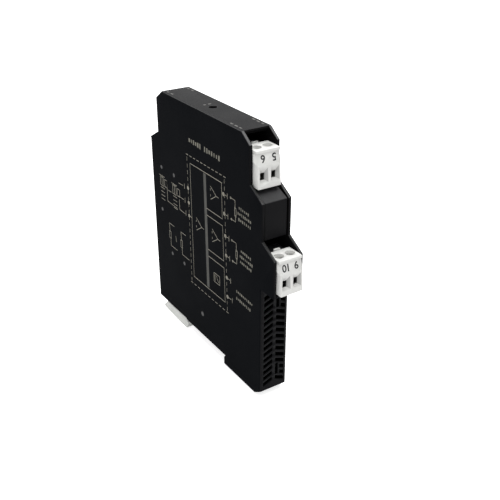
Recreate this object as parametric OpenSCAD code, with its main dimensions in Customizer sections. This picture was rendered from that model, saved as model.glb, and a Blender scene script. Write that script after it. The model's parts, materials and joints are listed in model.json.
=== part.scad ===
// Slim signal isolator for a 35 mm mounting rail, with plug-in screw terminals on stepped tiers.
// X runs along the rail, the terminal end is at -Y and the front face is at +Z.
// The origin is the middle of the rail seat. All sizes are in millimetres.

/* [Housing] */
// Width of the housing along the rail
body_w = 13.5; // [12.5:0.1:16]
// Thickness of the two side walls
side_wall = 1.2; // [1:0.1:1.4]
// Thickness of the front face and of the end walls
skin = 1.6; // [1.2:0.1:2]
// Thickness of the floors under the plugs and of the walls behind them
shelf = 1.2; // [1:0.1:1.5]
// Height of the front face above the rail seat
front_z = 109.3; // [108:0.1:112]
// Half the length of the flat front face
front_half = 31.9; // [31:0.1:33]
// Drop of the chamfer at each end of the front face
chamfer_drop = 3.9; // [3:0.1:5]
// Half the length across the first tier
shoulder_half = 37.5; // [37:0.1:38.5]
// Step of the side walls outwards from one tier to the next
tier_step_y = 8.45; // [8:0.05:9]
// Step of the side walls downwards from one tier to the next
tier_step_z = 20.6; // [20:0.1:21]
// Drop of the slope between two tiers
slope_drop = 4.8; // [4:0.1:5.5]
// Radius of the long upright corners
corner_r = 1.2; // [0.5:0.1:1.2]
// Diameter of the indicator hole in the front face
led_hole_d = 3.5; // [3:0.1:4.5]

/* [Rail foot] */
// Depth of the foot below the rail seat
foot_drop = 5.1; // [4.8:0.1:5.4]
// Length of the chamfer under the foot's end
heel_l = 4.3; // [3.5:0.1:5]
// Height of that chamfer
heel_h = 2.8; // [2.2:0.1:3]
// Height of the underside above the rail seat on the latch's side
under_rise = 0.6; // [0.4:0.1:0.8]
// Width of the mounting rail
rail_w = 35; // [34.5:0.1:35.5]
// Thickness of the rail's brim
brim_t = 1; // [0.8:0.1:1.1]
// Play between the foot and the rail
rail_play = 0.2; // [0.1:0.05:0.3]
// Reach of the hook and of the latch under the brim
hook_reach = 1; // [0.8:0.1:1.4]

/* [Rail latch] */
// Gap between the latch's sides and the outer faces of the walls
latch_side = 0.25; // [0.2:0.05:0.5]
// Thickness of the latch beside the rail
latch_t = 5.8; // [5.4:0.1:6]
// Thickness of the latch at its end
latch_end_t = 4.7; // [4.4:0.1:5]
// Travel that frees the rail
latch_travel = 3.5; // [3:0.1:4]
// Setback of the latch's end from the end wall, along its underside
latch_set = 3.8; // [3.6:0.1:4.2]
// Length of the slope at the latch's end
latch_slope = 4.8; // [4.4:0.1:5.2]
// Chamfer along the latch's upper edges
latch_edge = 0.8; // [0.5:0.1:1]
// Play around the latch
latch_play = 0.25; // [0.2:0.05:0.3]
// Width of the stem and of the screwdriver slot in the latch's end
stem_w = 4; // [3:0.1:5]
// Height of that slot
driver_gap = 1.4; // [1.2:0.1:1.6]
// Length of the stem
stem_l = 9; // [8:0.1:9.5]
// Width of the head that hangs the latch in the housing
head_w = 8; // [7:0.1:8.5]
// Height of that head
head_h = 3.2; // [3:0.1:4]
// Diameter of the latch spring's coils at the middle of the wire
spring_d = 2.2; // [2:0.1:2.4]
// Diameter of the spring wire
spring_wire = 0.4; // [0.3:0.05:0.5]
// Length of the spring with the latch shut
spring_l = 8; // [7.5:0.1:8.5]
// Turns of the spring
spring_turns = 6; // [5:1:7]

/* [Vent grille] */
// Rows of slots on each end
slot_rows = 15; // [13:1:15]
// Distance from row to row
row_pitch = 3.03; // [2.9:0.01:3.1]
// Height of one slot
slot_h = 1.85; // [1.4:0.05:2]
// Lean of the slots towards the middle rib, in degrees
slot_lean = 22; // [15:1:25]
// Width of the middle rib
grille_rib = 1.5; // [1.2:0.1:2]
// Width of one column of slots
column_w = 4.45; // [3.8:0.05:4.6]
// Height of the lowest row above the rail seat
grille_z = 1.8; // [1.6:0.1:2.4]
// Width of the snap windows
window_w = 1.4; // [1.2:0.1:1.6]
// Width of the bar beside a snap window
window_bar = 0.8; // [0.6:0.1:1]
// Play around the snap arms
snap_play = 0.15; // [0.1:0.05:0.25]
// Thickness of the snap arms
snap_t = 1.3; // [1:0.1:1.6]

/* [Terminal plugs] */
// Reach of the upper plug's front past the end of the first tier
plug_out = 3.7; // [3.3:0.1:4.1]
// Depth of the upper plug's underside below the front face
plug_drop = 20.8; // [20.5:0.1:21.3]
// Step outwards from one plug tier to the next
plug_step_y = 7.95; // [7.7:0.05:8.2]
// Step downwards from one plug tier to the next
plug_step_z = 19.4; // [19:0.1:19.6]
// Width of a plug
plug_w = 10.8; // [10.6:0.05:10.9]
// Height of a plug
plug_h = 14.9; // [14.7:0.1:15.2]
// Depth of a plug without its nose
plug_depth = 9.7; // [9.6:0.1:10]
// Distance between the two poles
pole_pitch = 5.08; // [5:0.01:5.12]
// Height of the collar round the plug's top
collar_h = 1.2; // [0.8:0.1:1.3]
// Setback of the collar from the foot of the front
collar_set = 1.3; // [1:0.1:1.6]
// Overhang of the collar
collar_lip = 0.45; // [0.3:0.05:0.5]
// Height of the lower half of the front, under its bend
front_bend_z = 9.1; // [9:0.1:10]
// Setback of the front at its bend
front_bend_y = 0.5; // [0.3:0.1:0.7]
// Length of the nose that plugs into the header
nose_l = 7.3; // [7:0.1:7.5]
// Height of the nose's underside
nose_z = 1; // [0.8:0.1:1.2]
// Height of the nose
nose_h = 10.5; // [10.2:0.1:10.8]
// Width of the finger that locks the plug
finger_w = 2.8; // [2.2:0.1:3.2]
// Thickness of that finger
finger_t = 0.8; // [0.6:0.1:1]
// Height of the finger above the plug's top
finger_rise = 0.35; // [0.2:0.05:0.7]
// Width of the wire funnel at its mouth
funnel_w = 4.1; // [3.6:0.1:4.3]
// Height of the funnel's mouth
funnel_h = 6.45; // [6:0.05:6.6]
// Depth of the funnel
funnel_d = 1.7; // [1.4:0.1:2]
// Width of the wire hole
wire_w = 1.9; // [1.7:0.1:2.2]
// Height of the wire hole
wire_h = 2.8; // [2.7:0.1:2.9]
// Height of the wire hole's floor above the plug's underside
wire_z = 3.1; // [3:0.05:3.2]
// Height of the wire hole's floor above the lower edge of the funnel
funnel_lip = 0.65; // [0.4:0.05:0.8]
// Play between a plug's pieces and around its nose
plug_play = 0.25; // [0.2:0.05:0.3]

/* [Clamps] */
// Distance of the clamp screws behind the foot of the plug's front
screw_y = 5.6; // [5.5:0.1:5.7]
// Diameter of the screw's head
screw_head_d = 3.5; // [3.3:0.1:3.6]
// Height of the screw's head
screw_head_h = 1.5; // [1.2:0.1:1.6]
// Diameter of the screw's shank
screw_d = 2.8; // [2.6:0.1:3]
// Depth of the head's top below the plug's top
screw_sink = 1.3; // [1.2:0.1:1.5]
// Width of the driver slot
driver_w = 0.6; // [0.5:0.05:0.8]
// Depth of the driver slot
driver_d = 0.7; // [0.5:0.05:0.8]
// Radial play of the screw in its clamp and in the plug
screw_play = 0.08; // [0.05:0.01:0.1]
// Width of the clamp cage
cage_w = 4; // [3.8:0.05:4.05]
// Depth of the clamp cage
cage_d = 4.1; // [3.8:0.1:4.2]
// Thickness of the cage's floor
cage_t = 0.7; // [0.5:0.05:0.8]
// Thickness of the cage's threaded roof
cage_roof = 1.2; // [1:0.1:1.3]
// Travel of the cage from open to shut
cage_travel = 2.5; // [2.2:0.1:2.6]
// Thickness of the contact strip
strip_t = 0.8; // [0.6:0.1:0.9]
// Size of the contact's socket
socket = 2.6; // [2.4:0.1:2.7]

/* [Headers] */
// Thickness of a header's walls
header_t = 1.2; // [1:0.1:1.3]
// Thickness of the wall that holds the pins
header_back_t = 2; // [1.6:0.1:2.2]
// Gap under a plug, down to the pocket's floor
seat_gap = 0.5; // [0.4:0.05:0.6]
// Size of the square pins
pin = 1; // [0.8:0.05:1.05]
// Length of a pin in front of the header's back wall
pin_reach = 6; // [5.5:0.1:6.5]
// Distance from the header to the first row of pin holes in the board
pin_tail = 2.8; // [2.4:0.1:3.2]

/* [Blank] */
// Height of the blank's slope from its lower to its upper edge
blank_rise = 3; // [2.6:0.1:3.2]
// Setback of the blank behind the edges of the side walls
blank_set = 0.4; // [0.3:0.1:0.6]
// Gap on each side of the blank
blank_play = 0.25; // [0.15:0.05:0.35]
// Thickness of the blank
blank_t = 1.4; // [1.2:0.1:1.6]

/* [Circuit board] */
// Thickness of the board
board_t = 1.6; // [1.4:0.1:1.8]
// Gap behind the board for its solder side
board_gap = 0.85; // [0.75:0.05:0.9]
// Height of the board's lower edge
board_z = 9; // [8.5:0.1:10]
// Gap between the board and the walls around it
board_edge = 1; // [0.8:0.1:1.2]
// Diameter of the posts that carry the board
post_d = 4.4; // [4:0.1:5]
// Diameter of the pegs that locate the board
peg_d = 2; // [1.8:0.1:2.2]
// Height of the middle of the transformer
coil_z = 52; // [50:0.5:54]
// Length of the transformer's core
core_l = 18; // [17:0.5:19]
// Height of the core
core_h = 15; // [14:0.5:16]
// Thickness of the core
core_t = 4.6; // [4:0.1:4.8]
// Width of the core's legs
core_leg = 3; // [2.8:0.1:3.2]
// Diameter of the capacitors
cap_d = 6.3; // [5:0.1:6.5]
// Length of the capacitors
cap_l = 11; // [9:0.5:12]
// Length of a chip's body
chip_l = 10.3; // [8:0.1:11]
// Width of a chip's body
chip_w = 7.5; // [6:0.1:8]
// Height of a chip's body
chip_h = 2.4; // [2:0.1:3]
// Width of the legs and leads on the board
leg_w = 0.5; // [0.4:0.05:0.55]
// Distance between a chip's legs
leg_pitch = 1.27; // [1.2:0.01:1.3]
// Reach of a chip's legs past its body
leg_reach = 1.3; // [1:0.1:1.5]
// Length of a chip resistor
resistor_l = 2; // [1.6:0.1:2.2]
// Width of a chip resistor
resistor_w = 1.25; // [0.8:0.05:1.4]
// Height of a chip resistor
resistor_h = 0.6; // [0.4:0.05:0.7]
// Distance between the columns of chip resistors
resistor_pitch = 4; // [3:0.1:4.5]
// Diameter of the indicator
led_d = 3; // [2.8:0.1:3.2]
// Thickness of the light pipe's flange
pipe_flange_t = 1; // [0.8:0.1:1.2]
// Depth of the light pipe's end below the front face
pipe_sink = 1; // [0.6:0.1:1.4]

/* [Hidden] */
$fn = 48;
// Reach of a cut past a surface
over = 1;
// Reach of a cut that leaves the housing altogether
far = 100;

half_w = body_w / 2;
half_in = half_w - side_wall;
end_half = shoulder_half + tier_step_y;
in_end = end_half - skin;
ceiling_z = front_z - skin;

// The tiers count from the front: 0 is the upper one, 1 the blank one and 2 the lower one.
upper = 0;
middle = 1;
lower = 2;
near = -1;
far_side = 1;
function tier_y(tier) = -(shoulder_half + tier * tier_step_y);
function tier_z(tier) = front_z - chamfer_drop - tier * tier_step_z;
function plug_y(tier) = -(shoulder_half + plug_out + tier * plug_step_y);
function plug_z(tier) = front_z - plug_drop - tier * plug_step_z;
function pole_x(side) = side * pole_pitch / 2;

// The header and the pocket behind a plug, measured from the plug's own corner
nose_end = plug_depth + nose_l;
header_front = plug_depth + plug_play;
header_in = nose_end + plug_play;
header_back = header_in + header_back_t;
header_top = nose_z + nose_h + plug_play + header_t;
function back_y(tier) = plug_y(tier) + header_back;
function floor_z(tier) = plug_z(tier) - seat_gap;
function shelf_z(tier) = floor_z(tier) - shelf;
function header_top_z(tier) = plug_z(tier) + header_top;
lobe_z = shelf_z(lower);

// The rail hook, the latch and its slot
hook_y = rail_w / 2 + rail_play;
lip_y = hook_y - hook_reach;
groove_h = brim_t + rail_play;
floor_low = under_rise + skin;
latch_half = half_w - latch_side;
latch_top = under_rise - latch_play;
latch_low = latch_top - latch_t;
latch_end = end_half - latch_set;
head_z = floor_low + latch_play;
heel_lean = atan2(heel_h, heel_l);
// The spring's stop stands clear of the snap arms, and the spring and the stem follow it
stop_y = in_end - snap_play - snap_t - latch_play - shelf;
spring_y = stop_y - spring_l;
stem_y = spring_y - stem_l;
spring_z = head_z + head_h / 2;

// The blank and the bay that it closes
blank_y = tier_y(middle) + blank_set;
bay_z = tier_z(lower) + slope_drop + blank_t;
blank_back_y = back_y(lower) - shelf;
blank_top_y = tier_y(upper) - over;

// Edge line shared by both side walls, as points of Y and Z
wall_line = [
    [front_half, front_z],
    [-front_half, front_z],
    [tier_y(upper), tier_z(upper)],
    [tier_y(upper), tier_z(middle) + slope_drop],
    [tier_y(middle), tier_z(middle)],
    [tier_y(middle), tier_z(lower) + slope_drop],
    [tier_y(lower), tier_z(lower)],
    [tier_y(lower), lobe_z],
    [-end_half, lobe_z],
    [-end_half, heel_h - foot_drop],
    [heel_l - end_half, -foot_drop],
    [-lip_y, -foot_drop],
    [-lip_y, -groove_h],
    [-hook_y, -groove_h],
    [-hook_y, 0],
    [hook_y, 0],
    [hook_y, under_rise],
    [end_half, under_rise],
    [end_half, tier_z(middle)],
    [shoulder_half, tier_z(middle) + slope_drop],
    [shoulder_half, tier_z(upper)]];

// Space for the board, which runs out into the bay behind the blank
cavity_line = [
    [back_y(upper), ceiling_z],
    [-back_y(upper), ceiling_z],
    [-back_y(upper), shelf_z(upper)],
    [shoulder_half, shelf_z(upper)],
    [in_end, tier_z(middle) - skin],
    [in_end, floor_low],
    [-hook_y - skin, floor_low],
    [-hook_y - skin, skin - foot_drop],
    [heel_l - end_half + skin * tan(heel_lean / 2), skin - foot_drop],
    [-in_end, heel_h - foot_drop + skin * tan(45 - heel_lean / 2)],
    [-in_end, lobe_z],
    [back_y(lower), lobe_z],
    [back_y(lower), bay_z],
    [-far, bay_z],
    [-far, shelf_z(upper)],
    [back_y(upper), shelf_z(upper)]];

// Open pocket of the upper plug, under the front face
upper_pocket_line = [
    [-far, floor_z(upper)],
    [back_y(upper), floor_z(upper)],
    [back_y(upper), header_top_z(upper)],
    [back_y(upper) - shelf, header_top_z(upper)],
    [back_y(upper) - shelf, ceiling_z],
    [-front_half, ceiling_z],
    [-front_half, front_z + far],
    [-far, front_z + far]];

// Open pocket of the lower plug, under the blank
lower_pocket_line = [
    [-far, floor_z(lower)],
    [back_y(lower), floor_z(lower)],
    [back_y(lower), header_top_z(lower)],
    [back_y(lower) - shelf, header_top_z(lower)],
    [back_y(lower) - shelf, bay_z + over],
    [-far, bay_z + over]];

// The board and what stands on it
board_back = half_in - board_gap;
board_face = board_back - board_t;
board_low_half = -back_y(lower) - board_edge;
board_top_half = -back_y(upper) - board_edge;
board_step_z = shelf_z(upper) - board_edge;
board_top_z = ceiling_z - board_edge;
post_spots = [
    [-board_low_half + post_d, board_z + post_d],
    [board_low_half - post_d, board_z + post_d],
    [-board_low_half + post_d, board_step_z - post_d],
    [board_low_half - post_d, board_step_z - post_d]];
chip_spots = [[-17, coil_z + 14], [16, coil_z + 14], [-19, coil_z - 16]];
cap_spots = [[17, board_z + 15], [-8, board_z + 11]];
resistor_drops = [11, 16, 25, 30];
function tail_y(tier, side) = back_y(tier) + pin_tail + (1 - side) * pin;

// Heights inside a plug, above its underside
strip_z = wire_z + wire_h;
pin_z = strip_z + strip_t / 2;
cage_z = wire_z - cage_t - plug_play / 2;
cage_top = strip_z + strip_t + plug_play * 2 + cage_roof;
cage_gap = screw_d + 2 * screw_play;
chamber_z = cage_z - plug_play;
chamber_top = cage_top + cage_travel + plug_play;
head_seat = plug_h - screw_sink - screw_head_h;
collar_z = plug_h - collar_h;
chamber_y = screw_y - cage_d / 2 - plug_play / 2;
chamber_d = cage_d + plug_play;
chamber_w = cage_w + plug_play;

// Extrudes an outline of Y and Z points along X
module along_x(x0, x1) {
    translate([x0, 0, 0])
        rotate([90, 0, 90])
            linear_extrude(x1 - x0) children();
}

// Extrudes an outline of X and Z points along Y
module along_y(y0, y1) {
    translate([0, y1, 0])
        rotate([90, 0, 0])
            linear_extrude(y1 - y0) children();
}

// A box between two corners
module block(low, high) {
    translate(low) cube(high - low);
}

// A cylinder along X
module rod_x(x0, x1, d, y, z) {
    translate([x0, y, z]) rotate([0, 90, 0]) cylinder(d = d, h = x1 - x0);
}

// What is left outside a rounded upright corner at [x, y], for cutting
module corner_cut(x, y, z0, z1) {
    sx = x > 0 ? -1 : 1;
    sy = y > 0 ? -1 : 1;
    difference() {
        block([min(x - sx * over, x + sx * corner_r), min(y - sy * over, y + sy * corner_r), z0],
            [max(x - sx * over, x + sx * corner_r), max(y - sy * over, y + sy * corner_r), z1]);
        translate([x + sx * corner_r, y + sy * corner_r, z0 - over])
            cylinder(r = corner_r, h = z1 - z0 + 2 * over);
    }
}

module wall_corners(x) {
    corner_cut(x, -end_half, -foot_drop - over, lobe_z);
    corner_cut(x, end_half, -over, tier_z(middle));
}

// Vent grille
function row_z(row) = grille_z + (slot_rows - 1 - row) * row_pitch;
function lean_z(x) = (grille_rib / 2 + column_w / 2 - abs(x)) * tan(slot_lean);
slot_in = grille_rib / 2;
slot_out = slot_in + column_w;
window_rows = [1, slot_rows - 3];

// One leaning slot between two distances from the middle rib
module slot(row, side, x0, x1) {
    polygon([
        [side * x0, row_z(row) + lean_z(x0) - slot_h / 2],
        [side * x1, row_z(row) + lean_z(x1) - slot_h / 2],
        [side * x1, row_z(row) + lean_z(x1) + slot_h / 2],
        [side * x0, row_z(row) + lean_z(x0) + slot_h / 2]]);
}

function window_low(row) = row_z(row + 1) + lean_z(slot_in + window_w) - slot_h / 2;
function window_high(row) = row_z(row) + lean_z(slot_in) + slot_h / 2;
function is_window(row) = len([for (first = window_rows) if (row == first || row == first + 1) row]) > 0;

// The chevron slots and the snap windows of one end wall
module grille(y0, y1) {
    for (row = [0 : slot_rows - 1]) {
        along_y(y0, y1) slot(row, near, slot_in, slot_out);
        along_y(y0, y1)
            slot(row, far_side, is_window(row) ? slot_in + window_w + window_bar : slot_in, slot_out);
    }
    for (row = window_rows)
        block([slot_in, y0, window_low(row)], [slot_in + window_w, y1, window_high(row)]);
}

module main_housing() {
    color([0.10, 0.10, 0.11])
    difference() {
        union() {
            difference() {
                along_x(-half_in, half_w) polygon(wall_line);
                along_x(-half_in - over, half_in) polygon(cavity_line);
                along_x(-half_in - over, half_in) polygon(upper_pocket_line);
                along_x(-half_in - over, half_in) polygon(lower_pocket_line);
                mirror([0, 1, 0])
                    along_x(-half_in - over, half_in) polygon(upper_pocket_line);
                block([-half_in - over, -far, shelf_z(upper) - over], [half_in, blank_top_y, far]);
            }
            for (spot = post_spots) {
                rod_x(board_back, half_in + side_wall / 2, post_d, spot[0], spot[1]);
                rod_x(board_face - pin, half_in, peg_d, spot[0], spot[1]);
            }
            // Stop for the latch spring
            block([-head_w / 2, stop_y, floor_low - skin / 2], [head_w / 2, stop_y + shelf, head_z + head_h]);
        }
        wall_corners(half_w);
        translate([0, 0, ceiling_z - over]) cylinder(d = led_hole_d, h = skin + 2 * over);
        grille(-end_half - over, -in_end + over);
        mirror([0, 1, 0]) grille(-end_half - over, -in_end + over);
        block([-stem_w / 2 - latch_play, stem_y - latch_play, -over],
            [stem_w / 2 + latch_play, stem_y + stem_l + latch_travel + latch_play, floor_low + over / 2]);
    }
}

// Arm of the side cover that snaps into a window of the end wall at -Y
module snap_arm(row) {
    low = window_low(row) + snap_play;
    high = window_high(row) - snap_play;
    tip = slot_in + window_w - snap_play;
    block([-half_in - side_wall / 2, -in_end + snap_play, low], [tip, -in_end + snap_play + snap_t, high]);
    block([slot_in + snap_play, -in_end - skin / 2, low], [tip, -in_end + snap_play + snap_t, high]);
}

module side_cover() {
    color([0.09, 0.10, 0.10])
    union() {
        difference() {
            along_x(-half_w, -half_in) polygon(wall_line);
            wall_corners(-half_w);
        }
        for (row = window_rows) {
            snap_arm(row);
            mirror([0, 1, 0]) snap_arm(row);
        }
    }
}

// Filler that closes the unused middle tier
module middle_blank() {
    low = tier_z(middle) - blank_set / 2;
    high = low + blank_rise;
    color([0.12, 0.12, 0.13])
    along_x(-half_in + blank_play, half_in - blank_play)
        polygon([
            [blank_top_y, high],
            [blank_y, low],
            [blank_y, bay_z - blank_t],
            [blank_back_y, bay_z - blank_t],
            [blank_back_y, bay_z],
            [blank_y + blank_t, bay_z],
            [blank_y + blank_t, low - blank_t],
            [blank_top_y, high - blank_t]]);
}

// Moves a plug's own frame to a tier
module at_tier(tier) {
    translate([0, plug_y(tier), plug_z(tier)]) children();
}

// Wire funnel and wire hole of one pole
module funnel(x) {
    mouth_low = wire_z - funnel_lip;
    slope_x = (funnel_w - wire_w) / 2 / funnel_d;
    slope_low = funnel_lip / funnel_d;
    slope_high = (funnel_h - wire_h - funnel_lip) / funnel_d;
    intersection() {
        translate([0, 0, mouth_low - far / 2])
            linear_extrude(far)
                polygon([
                    [x - funnel_w / 2 - slope_x * over, -over],
                    [x + funnel_w / 2 + slope_x * over, -over],
                    [x + wire_w / 2, funnel_d],
                    [x - wire_w / 2, funnel_d]]);
        along_x(x - funnel_w, x + funnel_w)
            polygon([
                [-over, mouth_low - slope_low * over],
                [funnel_d, wire_z],
                [funnel_d, wire_z + wire_h],
                [-over, mouth_low + funnel_h + slope_high * over]]);
    }
    block([x - wire_w / 2, funnel_d - over / 4, wire_z], [x + wire_w / 2, chamber_y + over / 4, wire_z + wire_h]);
}

// Body of one plug, in its own frame
module plug_body() {
    half = plug_w / 2;
    low_half = half - collar_lip / 2;
    finger_y = header_front + plug_play;
    difference() {
        union() {
            along_x(-low_half, low_half)
                polygon([
                    [0, 0],
                    [plug_depth, 0],
                    [plug_depth, collar_z],
                    [collar_set + collar_lip, collar_z],
                    [front_bend_y, front_bend_z]]);
            block([-half, collar_set, collar_z], [half, plug_depth, plug_h]);
            block([-low_half, plug_depth - over, nose_z], [low_half, nose_end, nose_z + nose_h]);
            block([-finger_w / 2, finger_y, nose_z + nose_h - over],
                [finger_w / 2, finger_y + finger_t, plug_h + finger_rise]);
        }
        for (side = [near, far_side]) {
            x = pole_x(side);
            funnel(x);
            block([x - chamber_w / 2, chamber_y, chamber_z],
                [x + chamber_w / 2, chamber_y + chamber_d, chamber_top]);
            translate([x, screw_y, chamber_top - over])
                cylinder(d = screw_d + 2 * screw_play, h = far);
            translate([x, screw_y, head_seat])
                cylinder(d = screw_head_d + 2 * plug_play, h = far);
            block([x - socket / 2 - plug_play / 4, chamber_y + chamber_d - over, pin_z - socket / 2 - plug_play / 4],
                [x + socket / 2 + plug_play / 4, nose_end - strip_t, pin_z + socket / 2 + plug_play / 4]);
            block([x - pin / 2 - plug_play, nose_end - strip_t - over, pin_z - pin / 2 - plug_play],
                [x + pin / 2 + plug_play, nose_end + over, pin_z + pin / 2 + plug_play]);
        }
    }
}

module upper_plug() {
    color([0.87, 0.87, 0.86]) at_tier(upper) plug_body();
}

module lower_plug() {
    color([0.87, 0.87, 0.86]) at_tier(lower) plug_body();
}

// Slotted clamp screw of one pole
module clamp_screw(tier, side) {
    shank_low = strip_z + strip_t + plug_play / 2;
    color([0.75, 0.75, 0.74])
    at_tier(tier)
        translate([pole_x(side), screw_y, 0])
            difference() {
                union() {
                    translate([0, 0, shank_low]) cylinder(d = screw_d, h = head_seat - shank_low);
                    translate([0, 0, head_seat]) cylinder(d = screw_head_d, h = screw_head_h);
                }
                block([-screw_head_d, -driver_w / 2, head_seat + screw_head_h - driver_d],
                    [screw_head_d, driver_w / 2, head_seat + screw_head_h + over]);
            }
}

module upper_screw_near() clamp_screw(upper, near);
module upper_screw_far() clamp_screw(upper, far_side);
module lower_screw_near() clamp_screw(lower, near);
module lower_screw_far() clamp_screw(lower, far_side);

// Cage that rises on its screw and pulls the wire against the contact strip
module clamp_cage(tier, side) {
    color([0.70, 0.70, 0.68])
    at_tier(tier)
        translate([pole_x(side), screw_y, 0])
            difference() {
                block([-cage_w / 2, -cage_d / 2, cage_z], [cage_w / 2, cage_d / 2, cage_top]);
                block([-cage_gap / 2, -cage_d, cage_z + cage_t], [cage_gap / 2, cage_d, cage_top - cage_roof]);
                translate([0, 0, cage_top - cage_roof - over])
                    cylinder(d = cage_gap, h = cage_roof + 2 * over);
            }
}

module upper_clamp_near() clamp_cage(upper, near);
module upper_clamp_far() clamp_cage(upper, far_side);
module lower_clamp_near() clamp_cage(lower, near);
module lower_clamp_far() clamp_cage(lower, far_side);

// Contact strips and pin sockets of one plug
module contacts(tier) {
    socket_front = chamber_y + chamber_d + plug_play;
    bore = pin + plug_play;
    color([0.78, 0.62, 0.28])
    at_tier(tier)
        for (side = [near, far_side])
            translate([pole_x(side), 0, 0])
                difference() {
                    union() {
                        block([-wire_w / 2, chamber_y + plug_play, strip_z],
                            [wire_w / 2, socket_front + over, strip_z + strip_t]);
                        block([-socket / 2, socket_front, pin_z - socket / 2],
                            [socket / 2, nose_end - strip_t, pin_z + socket / 2]);
                    }
                    block([-bore / 2, socket_front + over, pin_z - bore / 2],
                        [bore / 2, nose_end + over, pin_z + bore / 2]);
                }
}

module upper_contacts() contacts(upper);
module lower_contacts() contacts(lower);

// Header that takes a plug's nose, open at both sides, in the plug's frame
module header() {
    half = half_in - blank_play / 2;
    low = -seat_gap;
    high = header_top;
    notch = finger_w / 2 + plug_play;
    difference() {
        block([-half, header_front, low], [half, header_back, high]);
        block([-far, -over, nose_z - plug_play], [far, header_in, high - header_t]);
        block([-notch, -over, high - header_t - over], [notch, header_front + finger_t + 3 * plug_play, high + over]);
        for (side = [near, far_side])
            block([pole_x(side) - pin / 2, header_in - over, pin_z - pin / 2],
                [pole_x(side) + pin / 2, header_back + over, pin_z + pin / 2]);
    }
}

// Bent pins of one header, from the plug through the header to the board
module header_pins(tier) {
    color([0.80, 0.78, 0.70])
    at_tier(tier)
        for (side = [near, far_side]) {
            tail = tail_y(tier, side) - plug_y(tier);
            x = pole_x(side);
            block([x - pin / 2, header_in - pin_reach, pin_z - pin / 2],
                [x + pin / 2, tail + pin / 2, pin_z + pin / 2]);
            block([x - pin / 2, tail - pin / 2, pin_z - pin / 2],
                [board_back + board_gap / 2, tail + pin / 2, pin_z + pin / 2]);
        }
}

module upper_header() {
    color([0.11, 0.11, 0.12]) at_tier(upper) header();
}

module lower_header() {
    color([0.11, 0.11, 0.12]) at_tier(lower) header();
}

module input_header() {
    color([0.11, 0.11, 0.12]) mirror([0, 1, 0]) at_tier(upper) header();
}

module upper_pins() header_pins(upper);
module lower_pins() header_pins(lower);
module input_pins() mirror([0, 1, 0]) header_pins(upper);

// Round board hole for a square lead
module lead_hole(lead, y, z) {
    rod_x(board_face - over, board_back + over, lead * 1.6, y, z);
}

module tail_holes(tier) {
    for (side = [near, far_side]) lead_hole(pin, tail_y(tier, side), plug_z(tier) + pin_z);
}

module circuit_board() {
    color([0.10, 0.35, 0.20])
    difference() {
        along_x(board_face, board_back)
            polygon([
                [-board_low_half, board_z],
                [board_low_half, board_z],
                [board_low_half, board_step_z],
                [board_top_half, board_step_z],
                [board_top_half, board_top_z],
                [-board_top_half, board_top_z],
                [-board_top_half, board_step_z],
                [-board_low_half, board_step_z]]);
        for (spot = post_spots)
            rod_x(board_face - over, board_back + over, peg_d + 2 * screw_play, spot[0], spot[1]);
        tail_holes(upper);
        tail_holes(lower);
        mirror([0, 1, 0]) tail_holes(upper);
        for (spot = cap_spots)
            for (side = [near, far_side]) lead_hole(leg_w, spot[0] + side * pin, spot[1] - leg_w / 2);
    }
}

// Winding windows of the transformer core
window_l = (core_l - 3 * core_leg) / 2;
coil_face = board_face;
core_face = coil_face - (core_leg / 4);

module transformer_core() {
    color([0.22, 0.22, 0.23])
    difference() {
        block([core_face - core_t, -core_h / 2, coil_z - core_l / 2], [core_face, core_h / 2, coil_z + core_l / 2]);
        for (side = [near, far_side])
            block([-far, -core_h / 2 + core_leg, coil_z + side * (core_leg + window_l) / 2 - window_l / 2],
                [far, core_h / 2 - core_leg, coil_z + side * (core_leg + window_l) / 2 + window_l / 2]);
    }
}

module transformer_coil() {
    half_y = core_h / 2 - core_leg - plug_play;
    half_z = core_leg / 2 + window_l - plug_play;
    inner = core_leg / 2 + plug_play / 2;
    color([0.72, 0.42, 0.18])
    difference() {
        block([core_face - core_t - core_leg / 4, -half_y, coil_z - half_z], [coil_face, half_y, coil_z + half_z]);
        block([core_face - core_t - plug_play / 2, -far, coil_z - inner],
            [core_face + plug_play / 2, far, coil_z + inner]);
    }
}

// Chip with a row of legs on each side, flat on the board
module chip(y, z) {
    legs = floor(chip_l / leg_pitch) - 1;
    translate([board_face, y, z]) {
        block([-chip_h, -chip_w / 2, -chip_l / 2], [0, chip_w / 2, chip_l / 2]);
        for (leg = [0 : legs])
            translate([0, 0, (leg - legs / 2) * leg_pitch])
                block([-leg_w, -chip_w / 2 - leg_reach, -leg_w / 2], [0, chip_w / 2 + leg_reach, leg_w / 2]);
    }
}

module isolation_chips() {
    color([0.13, 0.13, 0.14])
    for (spot = chip_spots) chip(spot[0], spot[1]);
}

module capacitors() {
    color([0.16, 0.20, 0.34])
    for (spot = cap_spots) {
        translate([board_face - cap_d / 2, spot[0], spot[1]]) cylinder(d = cap_d, h = cap_l);
        for (side = [near, far_side])
            block([board_face - cap_d / 2, spot[0] + side * pin - leg_w / 2, spot[1] - leg_w],
                [board_back + board_gap / 2, spot[0] + side * pin + leg_w / 2, spot[1]]);
    }
}

module chip_resistors() {
    color([0.18, 0.18, 0.19])
    for (column = [-1 : 1])
        for (drop = resistor_drops)
            translate([board_face, column * resistor_pitch, board_top_z - drop])
                block([-resistor_h, -resistor_l / 2, -resistor_w / 2], [0, resistor_l / 2, resistor_w / 2]);
}

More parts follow.
